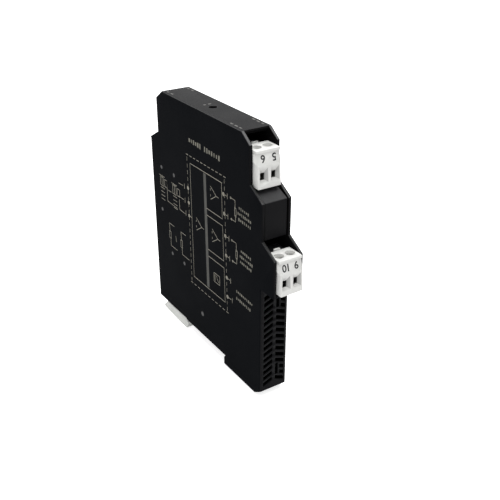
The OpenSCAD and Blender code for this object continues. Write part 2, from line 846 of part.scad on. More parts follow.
// The indicator stands under the light pipe, on leads that bend to the board
pipe_low = ceiling_z - 2 * pipe_flange_t;
led_high = pipe_low - plug_play;
led_low = led_high - led_d * 1.5;
module status_led() {
    color([0.75, 0.80, 0.75])
    union() {
        translate([0, 0, led_low]) cylinder(d = led_d, h = led_d);
        translate([0, 0, led_low + led_d]) sphere(d = led_d);
        for (side = [near, far_side]) {
            y = side * pin;
            block([-leg_w / 2, y - leg_w / 2, led_low - led_d], [leg_w / 2, y + leg_w / 2, led_low + leg_w]);
            block([-leg_w / 2, y - leg_w / 2, led_low - led_d],
                [board_face, y + leg_w / 2, led_low - led_d + leg_w]);
        }
    }
}

module light_pipe() {
    color([0.06, 0.06, 0.06])
    union() {
        translate([0, 0, pipe_low]) cylinder(d = led_hole_d - 2 * screw_play, h = front_z - pipe_sink - pipe_low);
        translate([0, 0, pipe_low]) cylinder(d = led_hole_d + 2 * pipe_flange_t, h = 2 * pipe_flange_t);
    }
}

module rail_latch() {
    color([0.78, 0.79, 0.77])
    difference() {
        union() {
            intersection() {
                along_x(-latch_half, latch_half)
                    polygon([
                        [lip_y, -groove_h],
                        [hook_y, -groove_h],
                        [hook_y + rail_play, latch_top],
                        [latch_end - latch_slope, latch_top],
                        [latch_end, latch_top - latch_end_t],
                        [stem_y, latch_low],
                        [hook_y + hook_reach, latch_low],
                        [lip_y, -groove_h - hook_reach]]);
                along_y(lip_y - over, latch_end + over)
                    polygon([
                        [-latch_half, latch_low - over],
                        [latch_half, latch_low - over],
                        [latch_half, latch_top - latch_edge],
                        [latch_half - latch_edge, latch_top],
                        [latch_edge - latch_half, latch_top],
                        [-latch_half, latch_top - latch_edge]]);
            }
            block([-stem_w / 2, stem_y, latch_top - over], [stem_w / 2, stem_y + stem_l, head_z + over]);
            block([-head_w / 2, stem_y, head_z], [head_w / 2, stem_y + stem_l, head_z + head_h]);
        }
        // Slot for a screwdriver's blade
        block([-stem_w / 2, latch_end - latch_slope - driver_gap, latch_top - latch_end_t / 2 - driver_gap / 2],
            [stem_w / 2, latch_end + over, latch_top - latch_end_t / 2 + driver_gap / 2]);
    }
}

// Helix of round wire along Y, swept as rings of points
spring_sides = 6;
spring_steps = 14;
module latch_spring() {
    rings = spring_turns * spring_steps;
    run = spring_l - spring_wire - plug_play / 2;
    function ring_point(ring, corner) =
        let (turn = 360 * ring / spring_steps)
        let (spin = 360 * corner / spring_sides)
        let (radius = spring_d / 2 + spring_wire / 2 * cos(spin))
        [radius * cos(turn), run * ring / rings + spring_wire / 2 * sin(spin), radius * sin(turn)];
    points = [for (ring = [0 : rings]) for (corner = [0 : spring_sides - 1]) ring_point(ring, corner)];
    sides = [for (ring = [0 : rings - 1]) for (corner = [0 : spring_sides - 1])
        let (next = (corner + 1) % spring_sides)
        [ring * spring_sides + corner, ring * spring_sides + next,
            (ring + 1) * spring_sides + next, (ring + 1) * spring_sides + corner]];
    first = [for (corner = [spring_sides - 1 : -1 : 0]) corner];
    last = [for (corner = [0 : spring_sides - 1]) rings * spring_sides + corner];
    color([0.70, 0.71, 0.72])
    translate([0, spring_y + spring_wire / 2 + plug_play / 4, spring_z])
        polyhedron(points = points, faces = concat(sides, [first], [last]));
}

main_housing();
side_cover();
middle_blank();
upper_plug();
lower_plug();
upper_screw_near();
upper_screw_far();
lower_screw_near();
lower_screw_far();
upper_clamp_near();
upper_clamp_far();
lower_clamp_near();
lower_clamp_far();
upper_contacts();
lower_contacts();
upper_header();
lower_header();
input_header();
upper_pins();
lower_pins();
input_pins();
circuit_board();
transformer_core();
transformer_coil();
isolation_chips();
capacitors();
chip_resistors();
status_led();
light_pipe();
rail_latch();
latch_spring();
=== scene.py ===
import bpy, bmesh, json, math
from mathutils import Matrix, Vector
from mathutils.bvhtree import BVHTree
from mathutils.kdtree import KDTree

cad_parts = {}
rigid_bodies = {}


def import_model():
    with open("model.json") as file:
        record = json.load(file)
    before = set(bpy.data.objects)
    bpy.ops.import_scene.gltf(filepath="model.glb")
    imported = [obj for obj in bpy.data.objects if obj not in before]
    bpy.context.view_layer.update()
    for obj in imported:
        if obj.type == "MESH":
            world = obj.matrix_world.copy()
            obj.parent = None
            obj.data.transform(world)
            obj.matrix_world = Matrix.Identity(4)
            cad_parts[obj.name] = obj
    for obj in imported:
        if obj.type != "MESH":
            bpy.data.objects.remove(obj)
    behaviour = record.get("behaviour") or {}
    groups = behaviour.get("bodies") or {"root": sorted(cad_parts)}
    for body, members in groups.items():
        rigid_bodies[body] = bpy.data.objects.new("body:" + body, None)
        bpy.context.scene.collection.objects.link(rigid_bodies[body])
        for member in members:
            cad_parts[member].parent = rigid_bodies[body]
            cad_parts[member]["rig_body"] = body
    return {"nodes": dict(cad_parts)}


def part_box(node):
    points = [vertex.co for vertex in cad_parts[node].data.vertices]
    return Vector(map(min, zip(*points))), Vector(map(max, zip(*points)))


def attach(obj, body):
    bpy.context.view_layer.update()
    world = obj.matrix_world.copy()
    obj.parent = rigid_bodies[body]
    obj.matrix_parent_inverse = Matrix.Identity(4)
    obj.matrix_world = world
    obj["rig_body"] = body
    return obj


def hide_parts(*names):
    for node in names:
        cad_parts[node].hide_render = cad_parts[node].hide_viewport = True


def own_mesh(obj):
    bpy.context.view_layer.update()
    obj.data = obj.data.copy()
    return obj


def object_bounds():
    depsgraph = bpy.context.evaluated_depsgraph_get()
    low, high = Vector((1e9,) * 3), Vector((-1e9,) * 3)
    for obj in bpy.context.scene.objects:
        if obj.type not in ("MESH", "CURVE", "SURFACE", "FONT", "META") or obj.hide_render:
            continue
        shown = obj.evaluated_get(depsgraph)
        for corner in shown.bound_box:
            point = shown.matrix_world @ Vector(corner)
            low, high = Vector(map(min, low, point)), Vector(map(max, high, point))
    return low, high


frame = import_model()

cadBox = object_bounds()
mm = 0.001
scene = bpy.context.scene
scene.view_settings.view_transform = "Standard"
print("frame loaded:", len(frame["nodes"]), "nodes")


# camera, at the photograph's angle
cameraSet = {
    "place": (-150.11, -255.22, 198.74),   # mm
    "right": (0.83544, -0.54957, 0.00255),
    "up": (0.25309, 0.38884, 0.88586),
    "lens": 53.92,
    "sensor": 36,
    "clip": (0.01, 20),   # m
}


def makeCamera(s):
    right, up = Vector(s["right"]), Vector(s["up"])
    back = right.cross(up)
    data = bpy.data.cameras.new("photoCamera")
    data.lens = s["lens"]
    data.sensor_width = s["sensor"]
    data.clip_start, data.clip_end = s["clip"]
    cam = bpy.data.objects.new("photoCamera", data)
    scene.collection.objects.link(cam)
    turn = Matrix((right, up, back)).transposed().to_4x4()
    cam.matrix_world = Matrix.Translation(Vector(s["place"]) * mm) @ turn
    scene.camera = cam


makeCamera(cameraSet)
print("camera set")


# materials, all on object coordinates in metres
noiseSet = {
    "low": 0.3, "high": 0.7,   # where a noise mostly lies
    "cloudDetail": 3, "grainDetail": 2, "grainRough": 0.6,
    "brushBump": 0.25, "brushDepth": 0.01,
}


def node(tree, kind, inputs=None, **props):
    made = tree.nodes.new(kind)
    for key, value in props.items():
        setattr(made, key, value)
    for key, value in (inputs or {}).items():
        made.inputs[key].default_value = value
    return made


def noise(tree, coords, scale, detail=2.0, roughness=0.5):
    made = node(tree, "ShaderNodeTexNoise", {"Scale": scale, "Detail": detail, "Roughness": roughness})
    tree.links.new(coords.outputs["Object"], made.inputs["Vector"])
    return made


def span(tree, source, low, high):
    made = node(tree, "ShaderNodeMapRange", {"From Min": noiseSet["low"], "From Max": noiseSet["high"],
                                             "To Min": low, "To Max": high})
    tree.links.new(source, made.inputs["Value"])
    return made.outputs["Result"]


def twoTone(tree, source, first, second):
    made = node(tree, "ShaderNodeMix", data_type="RGBA")
    made.inputs[6].default_value = (*first, 1)
    made.inputs[7].default_value = (*second, 1)
    tree.links.new(source, made.inputs[0])
    return made.outputs[2]


def startMaterial(name):
    mat = bpy.data.materials.new(name)
    mat.use_nodes = True
    tree = mat.node_tree
    return mat, tree, tree.nodes["Principled BSDF"], node(tree, "ShaderNodeTexCoord")


def moulded(name, s):
    mat, tree, shader, coords = startMaterial(name)
    broad = noise(tree, coords, s["cloud"], noiseSet["cloudDetail"])
    grain = noise(tree, coords, s["grain"], noiseSet["grainDetail"], noiseSet["grainRough"])
    tone = span(tree, broad.outputs["Fac"], 0, 1)
    tree.links.new(twoTone(tree, tone, s["dark"], s["pale"]), shader.inputs["Base Color"])
    tree.links.new(span(tree, grain.outputs["Fac"], *s["roughness"]), shader.inputs["Roughness"])
    bump = node(tree, "ShaderNodeBump", {"Strength": s["bump"], "Distance": s["depth"] * mm})
    tree.links.new(grain.outputs["Fac"], bump.inputs["Height"])
    tree.links.new(bump.outputs["Normal"], shader.inputs["Normal"])
    shader.inputs["Specular IOR Level"].default_value = s["gloss"]
    return mat


def plated(name, s):
    mat, tree, shader, coords = startMaterial(name)
    stretch = node(tree, "ShaderNodeMapping", {"Scale": s["stretch"]})
    tree.links.new(coords.outputs["Object"], stretch.inputs["Vector"])
    brush = node(tree, "ShaderNodeTexNoise", {"Scale": s["brush"], "Detail": noiseSet["cloudDetail"]})
    tree.links.new(stretch.outputs["Vector"], brush.inputs["Vector"])
    patch = noise(tree, coords, s["cloud"], noiseSet["grainDetail"])
    tone = span(tree, patch.outputs["Fac"], 0, 1)
    tree.links.new(twoTone(tree, tone, s["dark"], s["pale"]), shader.inputs["Base Color"])
    tree.links.new(span(tree, brush.outputs["Fac"], *s["roughness"]), shader.inputs["Roughness"])
    bump = node(tree, "ShaderNodeBump", {"Strength": noiseSet["brushBump"],
                                         "Distance": noiseSet["brushDepth"] * mm})
    tree.links.new(brush.outputs["Fac"], bump.inputs["Height"])
    tree.links.new(bump.outputs["Normal"], shader.inputs["Normal"])
    shader.inputs["Metallic"].default_value = 1
    return mat


plasticSet = {   # cloud and grain are noise scales, depth is the grain's in mm
    # painted light and shade: the housing's black comes in lit and shaded copies, lighter where faces look
    # up (front, slopes) and darker on the ends and side walls
    "wallShadedBlack": dict(dark=(0.0045, 0.0050, 0.0060), pale=(0.0061, 0.0066, 0.0077), cloud=45, grain=3600,
                      roughness=(0.55, 0.75), bump=0.30, depth=0.03, gloss=0.005),
    "endShadedBlack": dict(dark=(0.0062, 0.0062, 0.0070), pale=(0.0084, 0.0084, 0.0092), cloud=50, grain=3600,
                     roughness=(0.50, 0.68), bump=0.30, depth=0.03, gloss=0.035),
    "frontLitBlack": dict(dark=(0.0160, 0.0160, 0.0166), pale=(0.0218, 0.0218, 0.0224), cloud=60, grain=3200,
                       roughness=(0.42, 0.60), bump=0.30, depth=0.025, gloss=0.045),
    "slopeLitBlack": dict(dark=(0.0150, 0.0150, 0.0156), pale=(0.0200, 0.0200, 0.0208), cloud=60, grain=3200,
                       roughness=(0.40, 0.56), bump=0.25, depth=0.025, gloss=0.50),
    # painted light: the lit copy of the black, for the upward slopes of the tier blank and inside the
    # housing
    "blankSlopeLit": dict(dark=(0.0096, 0.0096, 0.0106), pale=(0.0130, 0.0130, 0.0140), cloud=90, grain=4200,
                       roughness=(0.40, 0.55), bump=0.20, depth=0.02, gloss=0.24),
    # painted shade: near-black for the faces down in the grille slots and in the seam beside each wall of
    # the tier blank
    "slotAndSeamShade": dict(dark=(0.0010, 0.0010, 0.0011), pale=(0.0016, 0.0016, 0.0017), cloud=120, grain=3600,
                      roughness=(0.70, 0.85), bump=0.20, depth=0.02, gloss=0.010),
    # painted shade: darker black for the faces inside the terminal pockets, the flat faces inside the
    # housing and the inward faces of the side walls
    "pocketShade": dict(dark=(0.0012, 0.0012, 0.0014), pale=(0.0024, 0.0024, 0.0026), cloud=120, grain=3600,
                        roughness=(0.50, 0.66), bump=0.25, depth=0.02, gloss=0.03),
    # painted shade: the shaded copy of the blank's black, for its front and other faces that don't look up
    "blankShadedBlack": dict(dark=(0.0028, 0.0028, 0.0034), pale=(0.0040, 0.0040, 0.0046), cloud=90, grain=4200,
                       roughness=(0.40, 0.55), bump=0.20, depth=0.02, gloss=0.05),
    # painted shade: a greyer copy of the plug white for the cheeks of the wire funnels
    "plugFunnelShade": dict(dark=(0.38, 0.38, 0.37), pale=(0.44, 0.44, 0.43), cloud=220, grain=3000,
                       roughness=(0.40, 0.55), bump=0.12, depth=0.02, gloss=0.30),
    # painted shade: near-black for the faces inside the plug's wire holes, clamp chambers and bores
    "plugInsideShade": dict(dark=(0.020, 0.020, 0.020), pale=(0.034, 0.034, 0.033), cloud=400, grain=3000,
                       roughness=(0.50, 0.65), bump=0.12, depth=0.02, gloss=0.20),
    "headerBlack": dict(dark=(0.016, 0.016, 0.018), pale=(0.024, 0.024, 0.026), cloud=120, grain=4200,
                        roughness=(0.40, 0.55), bump=0.20, depth=0.02, gloss=0.40),
    "plugWhite": dict(dark=(0.64, 0.64, 0.62), pale=(0.68, 0.68, 0.66), cloud=700, grain=1900,
                      roughness=(0.36, 0.52), bump=0.40, depth=0.04, gloss=0.45),
    "latchGrey": dict(dark=(0.60, 0.61, 0.585), pale=(0.68, 0.69, 0.665), cloud=140, grain=3000,
                      roughness=(0.42, 0.58), bump=0.18, depth=0.02, gloss=0.45),
    "printInk": dict(dark=(0.20, 0.19, 0.155), pale=(0.30, 0.285, 0.235), cloud=900, grain=5200,
                     roughness=(0.55, 0.75), bump=0.15, depth=0.01, gloss=0.30),
    "printFaint": dict(dark=(0.110, 0.106, 0.086), pale=(0.190, 0.183, 0.150), cloud=1100, grain=5200,
                       roughness=(0.55, 0.75), bump=0.15, depth=0.01, gloss=0.25),
    "frontInk": dict(dark=(0.105, 0.103, 0.098), pale=(0.15, 0.147, 0.14), cloud=900, grain=5200,
                     roughness=(0.55, 0.75), bump=0.15, depth=0.01, gloss=0.20),
    "printBar": dict(dark=(0.030, 0.030, 0.026), pale=(0.044, 0.044, 0.038), cloud=500, grain=5200,
                     roughness=(0.55, 0.75), bump=0.15, depth=0.01, gloss=0.30),
    "wallSpot": dict(dark=(0.018, 0.018, 0.019), pale=(0.028, 0.028, 0.029), cloud=900, grain=4200,
                     roughness=(0.45, 0.60), bump=0.20, depth=0.01, gloss=0.30),
    "digitInk": dict(dark=(0.010, 0.010, 0.011), pale=(0.018, 0.018, 0.020), cloud=1600, grain=5200,
                     roughness=(0.50, 0.70), bump=0.15, depth=0.01, gloss=0.30),
    "boardGreen": dict(dark=(0.012, 0.085, 0.036), pale=(0.020, 0.125, 0.055), cloud=260, grain=2400,
                       roughness=(0.30, 0.45), bump=0.15, depth=0.02, gloss=0.50),
    "ferrite": dict(dark=(0.020, 0.020, 0.021), pale=(0.040, 0.040, 0.041), cloud=700, grain=2600,
                    roughness=(0.60, 0.80), bump=0.40, depth=0.03, gloss=0.40),
    "coilTape": dict(dark=(0.50, 0.30, 0.03), pale=(0.62, 0.40, 0.05), cloud=500, grain=1800,
                     roughness=(0.28, 0.42), bump=0.20, depth=0.02, gloss=0.50),
    "chipBlack": dict(dark=(0.010, 0.010, 0.011), pale=(0.016, 0.016, 0.017), cloud=600, grain=4000,
                      roughness=(0.55, 0.70), bump=0.30, depth=0.02, gloss=0.40),
    "sleeveBlue": dict(dark=(0.012, 0.020, 0.070), pale=(0.020, 0.030, 0.095), cloud=300, grain=1500,
                       roughness=(0.22, 0.34), bump=0.10, depth=0.01, gloss=0.50),
    "pipeDark": dict(dark=(0.002, 0.002, 0.002), pale=(0.004, 0.004, 0.004), cloud=400, grain=2000,
                     roughness=(0.16, 0.26), bump=0.05, depth=0.01, gloss=0.40),
}
metalSet = {
    "screwSteel": dict(dark=(0.46, 0.46, 0.45), pale=(0.60, 0.60, 0.58), cloud=700, brush=1500,
                       stretch=(1, 6, 1), roughness=(0.30, 0.46)),
    "clampSteel": dict(dark=(0.42, 0.42, 0.41), pale=(0.55, 0.55, 0.53), cloud=600, brush=1200,
                       stretch=(1, 1, 5), roughness=(0.34, 0.50)),
    "contactBrass": dict(dark=(0.52, 0.36, 0.12), pale=(0.66, 0.48, 0.18), cloud=500, brush=1200,
                         stretch=(1, 5, 1), roughness=(0.28, 0.42)),
    "pinTin": dict(dark=(0.54, 0.53, 0.49), pale=(0.66, 0.65, 0.60), cloud=700, brush=1400,
                   stretch=(4, 1, 1), roughness=(0.26, 0.40)),
    "springSteel": dict(dark=(0.44, 0.45, 0.46), pale=(0.56, 0.57, 0.58), cloud=900, brush=1600,
                        stretch=(1, 5, 1), roughness=(0.26, 0.40)),
}
mats = {name: moulded(name, s) for name, s in plasticSet.items()}
mats.update({name: plated(name, s) for name, s in metalSet.items()})


lensSet = {"tint": (0.80, 0.88, 0.80), "swirl": 900, "roughness": (0.05, 0.14), "clear": 0.85, "bend": 1.5}


def clearLens(name, s):
    mat, tree, shader, coords = startMaterial(name)
    swirl = noise(tree, coords, s["swirl"])
    tree.links.new(span(tree, swirl.outputs["Fac"], *s["roughness"]), shader.inputs["Roughness"])
    shader.inputs["Base Color"].default_value = (*s["tint"], 1)
    shader.inputs["Transmission Weight"].default_value = s["clear"]
    shader.inputs["IOR"].default_value = s["bend"]
    return mat


mats["lensClear"] = clearLens("lensClear", lensSet)
print("materials made:", len(mats))


# pieces that keep a node's form, with worked edges
def place(obj, body, slot, *nodes):
    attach(obj, body)
    if nodes:
        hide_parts(*nodes)


def settled(obj, name):
    graph = bpy.context.evaluated_depsgraph_get()
    mesh = bpy.data.meshes.new_from_object(obj.evaluated_get(graph), preserve_all_data_layers=True,
                                           depsgraph=graph)
    old = obj.data
    obj.modifiers.clear()
    obj.data = mesh
    mesh.name = name
    if old.users == 0:
        bpy.data.meshes.remove(old)
    return obj


edgeSet = {
    "weld": 0.0005,   # mm
    "angle": 32,      # degrees, from which an edge is rounded
    "stray": 0.004,   # mm, the most that a rounding may stand out
    "sink": 0.75,     # share of the edge, the most that it may cut in
    "reach": 2.5,     # share of the edge, round a corner that stays plain
    "tries": 5,
}


def bevelled(source, edge, steps, skip):
    s = edgeSet
    bm = bmesh.new()
    bm.from_mesh(source)
    bmesh.ops.remove_doubles(bm, verts=bm.verts, dist=s["weld"] * mm)
    near = BVHTree.FromBMesh(bm)
    tree = KDTree(len(bm.verts))
    for i, v in enumerate(bm.verts):
        tree.insert(v.co, i)
    tree.balance()
    bm.verts.ensure_lookup_table()
    sharp = [e for e in bm.edges if e.is_manifold and e.calc_face_angle() > math.radians(s["angle"])
             and not any(v.index in skip for v in e.verts)]
    bmesh.ops.bevel(bm, geom=sharp, offset=edge * mm, offset_type="OFFSET", segments=steps, profile=0.5,
                    affect="EDGES", clamp_overlap=False, loop_slide=False, miter_outer="ARC")
    wrong = set()
    for v in bm.verts:
        spot, normal, face, gap = near.find_nearest(v.co)
        outside = (v.co - spot).dot(normal) > s["stray"] * mm
        if outside or gap > edge * s["sink"] * mm:
            for other in [v] + [e.other_vert(v) for e in v.link_edges]:
                wrong.update(i for co, i, far in tree.find_range(other.co, edge * s["reach"] * mm))
    return bm, wrong


def workedCopy(nodeName, name, edge, steps, pick):
    source = frame["nodes"][nodeName]
    skip = set()
    for attempt in range(edgeSet["tries"]):   # leave out the corners where the rounding overshoots
        bm, wrong = bevelled(source.data, edge, steps, skip)
        if wrong <= skip:
            break
        skip |= wrong
    if skip:
        print("  plain corners on", name, len(skip))
    mesh = bpy.data.meshes.new(name)
    bm.to_mesh(mesh)
    bm.free()
    obj = bpy.data.objects.new(name, mesh)
    scene.collection.objects.link(obj)
    for face in mesh.polygons:
        face.use_smooth = True
    weigh = obj.modifiers.new("weigh", "WEIGHTED_NORMAL")
    weigh.keep_sharp = False
    settled(obj, name)
    obj.data.materials.clear()
    names = []
    for face in obj.data.polygons:
        chosen = pick(face) if callable(pick) else pick
        if chosen not in names:
            names.append(chosen)
            obj.data.materials.append(mats[chosen])
        face.material_index = names.index(chosen)
    return obj


housingSet = {   # mm
    "skin": 1.75, "rim": 0.12, "wall": 1.2, "wallPlay": 0.06, "foot": 1.0,
    "pocketReach": 16, "pocketRise": 8, "pocketPlay": 2,
}
facing = {   # limits for a face's normal
    "flat": 0.93, "slope": 0.25, "under": -0.7, "end": 0.6, "side": 0.9,
    "seam": 0.3, "funnel": 0.6,
}
coverLow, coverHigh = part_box("side_cover")
endY, topZ = coverHigh.y, coverHigh.z
innerX = -coverLow.x - housingSet["wall"] * mm
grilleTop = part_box("lower_plug")[0].z


# the box reaching from each header out through its pocket, whose faces take painted shade
def inPocket(spot):
    s = housingSet
    play, reach = s["pocketPlay"] * mm, s["pocketReach"] * mm
    for header, way in (("upper_header", -1), ("lower_header", -1), ("input_header", 1)):
        low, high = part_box(header)
        first = low.y - (reach if way < 0 else play)
        last = high.y + (play if way < 0 else reach)
        if first < spot.y < last and low.z - play < spot.z < high.z + s["pocketRise"] * mm:
            return True
    return False


# painted light and shade: each face takes a lit or shaded copy of the black by the way it faces, lighter
# facing up and darker on the ends and side walls; faces down in the grille slots and inside the terminal
# pockets take near-black painted shade
def housingFinishAndShade(face):
    s, spot, n = housingSet, face.center, face.normal
    y = abs(spot.y)
    inside = abs(spot.x) < innerX + s["wallPlay"] * mm
    onTop = spot.z > topZ - s["rim"] * mm
    onSlope = spot.z > grilleTop and facing["slope"] < n.z < facing["flat"]
    onSkin = onTop or onSlope or y > endY - s["rim"] * mm
    under = n.z < facing["under"] and spot.z < s["foot"] * mm
    # painted shade: faces down in the grille slots
    if inside and not onSkin and not under and y > endY - s["skin"] * mm and spot.z < grilleTop:
        return "slotAndSeamShade"
    # painted shade: the inward faces of the side walls and the faces in the terminal pockets
    if inside and (n.x * spot.x < 0 and abs(n.x) > facing["side"] or not onSkin and inPocket(spot)):
        return "pocketShade"
    if n.z > facing["flat"]:
        return "frontLitBlack" if onTop or not inside else "pocketShade"
    if n.z > facing["slope"]:
        return "blankSlopeLit" if inside else "slopeLitBlack"
    return "endShadedBlack" if abs(n.y) > facing["end"] else "wallShadedBlack"


# painted light and shade: the blank's slopes take a lit copy of the black, its front a shaded copy, and its
# side faces painted seam shade
def blankFinishAndShade(face):
    if abs(face.normal.x) > facing["seam"]:   # painted shade: the blank's side faces, in the seam beside each wall, take the near-black slot shade
        return "slotAndSeamShade"
    return "blankSlopeLit" if face.normal.z > facing["slope"] else "blankShadedBlack"


# boxes for the painted shade inside the plug
plugInner = {   # mm from the plug's low front corner
    "lip": 0.1, "front": 1.75, "back": 8.0, "low": 1.9, "high": 11.3, "mouthTop": 9.0,
    "reach": 2.3, "pole": 2.54, "boreEnd": 16.9, "boreZ": 6.3, "boreHalf": 1.5,
}


# painted shade: the plug's faces in the wire holes, clamp chambers and bores take near-black, the cheeks of
# the wire funnels a greyer white
def plugFinishAndShade(plugNode):
    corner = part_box(plugNode)[0]

    def pick(face):
        s = plugInner
        y, z = (face.center.y - corner.y) / mm, (face.center.z - corner.z) / mm
        off = abs(abs(face.center.x / mm) - s["pole"])
        # painted shade: near-black in the bores and chambers
        if y > s["back"]:
            inShadedBore = max(off, abs(z - s["boreZ"])) < s["boreHalf"] and y < s["boreEnd"]
            return "plugInsideShade" if inShadedBore else "plugWhite"
        if off > s["reach"] or not s["low"] < z < s["high"]:
            return "plugWhite"
        if y > s["front"]:
            return "plugInsideShade"
        # painted shade: the funnel cheeks take a greyer copy of the white
        shadedCheek = abs(face.normal.x) > facing["funnel"] and z < s["mouthTop"] and y > s["lip"]
        return "plugFunnelShade" if shadedCheek else "plugWhite"

    return pick


workedSet = {   # node: piece, edge in mm, steps, finish (lit and shaded copies with painted shade on the housing, blank and plugs), slot
    "main_housing": ("housingTub", 0.18, 2, housingFinishAndShade, "housing_black"),
    "side_cover": ("printedWall", 0.22, 3, housingFinishAndShade, "cover_black"),
    "middle_blank": ("tierBlank", 0.38, 3, blankFinishAndShade, "blank_black"),
    "upper_plug": ("upperPlugShell", 0.14, 2, plugFinishAndShade("upper_plug"), "plug_white"),
    "lower_plug": ("lowerPlugShell", 0.14, 2, plugFinishAndShade("lower_plug"), "plug_white"),
    "upper_header": ("upperSocket", 0.12, 2, "headerBlack", "header_black"),
    "lower_header": ("lowerSocket", 0.12, 2, "headerBlack", "header_black"),
    "input_header": ("inputSocket", 0.12, 2, "headerBlack", "header_black"),
    "rail_latch": ("latchSlide", 0.22, 3, "latchGrey", "latch_grey"),
    "circuit_board": ("isolatorBoard", 0.08, 2, "boardGreen", "board_green"),
    "transformer_core": ("ferriteCore", 0.20, 2, "ferrite", "core_ferrite"),
    "light_pipe": ("lightPipe", 0.25, 3, "pipeDark", "pipe_dark"),
}
for tier in ("upper", "lower"):
    for side in ("near", "far"):
        label = tier + side.capitalize()
        workedSet[f"{tier}_screw_{side}"] = (label + "Screw", 0.14, 3, "screwSteel", "screw_steel")
        workedSet[f"{tier}_clamp_{side}"] = (label + "Cage", 0.10, 2, "clampSteel", "clamp_steel")
    workedSet[f"{tier}_contacts"] = (tier + "Contacts", 0.08, 2, "contactBrass", "contact_brass")
for header in ("upper", "lower", "input"):
    workedSet[f"{header}_pins"] = (header + "Pins", 0.10, 2, "pinTin", "pin_tin")

for nodeName, (name, edge, steps, pick, slotName) in workedSet.items():
    piece = workedCopy(nodeName, name, edge, steps, pick)
    place(piece, frame["nodes"][nodeName]["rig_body"], slotName, nodeName)
print("worked copies:", len(workedSet))


# pieces on the board
boardSet = {   # mm
    "steps": 2,
    "legHeight": 0.52,
    "columnPitch": 4, "capStart": 0.58,   # chip resistors
    "cans": ((17, 24), (-8, 20)),         # Y of the middle, Z of the lower end
    "canHeight": 11, "canFoot": 0.05, "canLid": 0.1, "canUnder": -0.9, "rim": 2.6,
    "lampLegs": 3.2,
}
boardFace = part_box("circuit_board")[0].x
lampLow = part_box("status_led")[0].z


def boardPart(nodeName, name, edge, pick, slotName):
    piece = workedCopy(nodeName, name, edge, boardSet["steps"], pick)
    place(piece, "housing", slotName, nodeName)


def chipFinish(face):
    return "pinTin" if face.center.x > boardFace - boardSet["legHeight"] * mm else "chipBlack"


def resistorFinish(face):
    half = boardSet["columnPitch"] / 2
    off = (face.center.y / mm + half) % boardSet["columnPitch"] - half
    return "pinTin" if abs(off) > boardSet["capStart"] else "chipBlack"


def canFinish(face):
    s = boardSet
    y, z = face.center.y / mm, face.center.z / mm
    middle, low = min(s["cans"], key=lambda spot: abs(y - spot[0]))
    if z < low + s["canFoot"] and face.normal.z > s["canUnder"]:
        return "pinTin"
    onLid = z > low + s["canHeight"] - s["canLid"] and abs(y - middle) < s["rim"]
    return "clampSteel" if onLid else "sleeveBlue"


def ledFinish(face):
    return "pinTin" if face.center.z < lampLow + boardSet["lampLegs"] * mm else "lensClear"


boardPart("isolation_chips", "isolationChips", 0.08, chipFinish, "chip_black")
boardPart("chip_resistors", "chipResistors", 0.05, resistorFinish, "resistor_black")
boardPart("capacitors", "sleevedCapacitors", 0.25, canFinish, "capacitor_blue")
boardPart("status_led", "statusLamp", 0.05, ledFinish, "led_clear")
boardPart("transformer_coil", "tapedCoil", 0.35, "coilTape", "coil_tape")
print("board pieces done")


# node trees: strokes, dashes, dots and bars for the printing, and the coil spring
treeSet = {"dotSides": 20, "wireSides": 10, "barLeast": (1, 0.35, 0.60), "barMost": (1, 0.75, 1.00)}


def startTree(name, inputs):
    tree = bpy.data.node_groups.new(name, "GeometryNodeTree")
    tree.interface.new_socket("Geometry", in_out="OUTPUT", socket_type="NodeSocketGeometry")
    tree.interface.new_socket("Geometry", in_out="INPUT", socket_type="NodeSocketGeometry")
    for label, kind in inputs:
        tree.interface.new_socket(label, in_out="INPUT", socket_type=kind)
    return tree, tree.nodes.new("NodeGroupInput"), tree.nodes.new("NodeGroupOutput")


def endTree(tree, given, instances, out):
    real = tree.nodes.new("GeometryNodeRealizeInstances")
    paint = tree.nodes.new("GeometryNodeSetMaterial")
    tree.links.new(instances, real.inputs["Geometry"])
    tree.links.new(real.outputs["Geometry"], paint.inputs["Geometry"])
    tree.links.new(given.outputs["Ink"], paint.inputs["Material"])
    tree.links.new(paint.outputs["Geometry"], out.inputs["Geometry"])
    return tree


def sizeOf(tree, x, y, z):
    made = tree.nodes.new("ShaderNodeCombineXYZ")
    for key, source in (("X", x), ("Y", y), ("Z", z)):
        if isinstance(source, (int, float)):
            made.inputs[key].default_value = source
        else:
            tree.links.new(source, made.inputs[key])
    return made.outputs["Vector"]


def maths(tree, operation, first, second):
    made = tree.nodes.new("ShaderNodeMath")
    made.operation = operation
    for index, source in enumerate((first, second)):
        if isinstance(source, (int, float)):
            made.inputs[index].default_value = source
        else:
            tree.links.new(source, made.inputs[index])
    return made.outputs["Value"]


def turnAlong(tree, direction):
    made = tree.nodes.new("FunctionNodeAlignRotationToVector")
    made.axis = "Y"
    made.pivot_axis = "X"
    tree.links.new(direction, made.inputs["Vector"])
    return made.outputs["Rotation"]


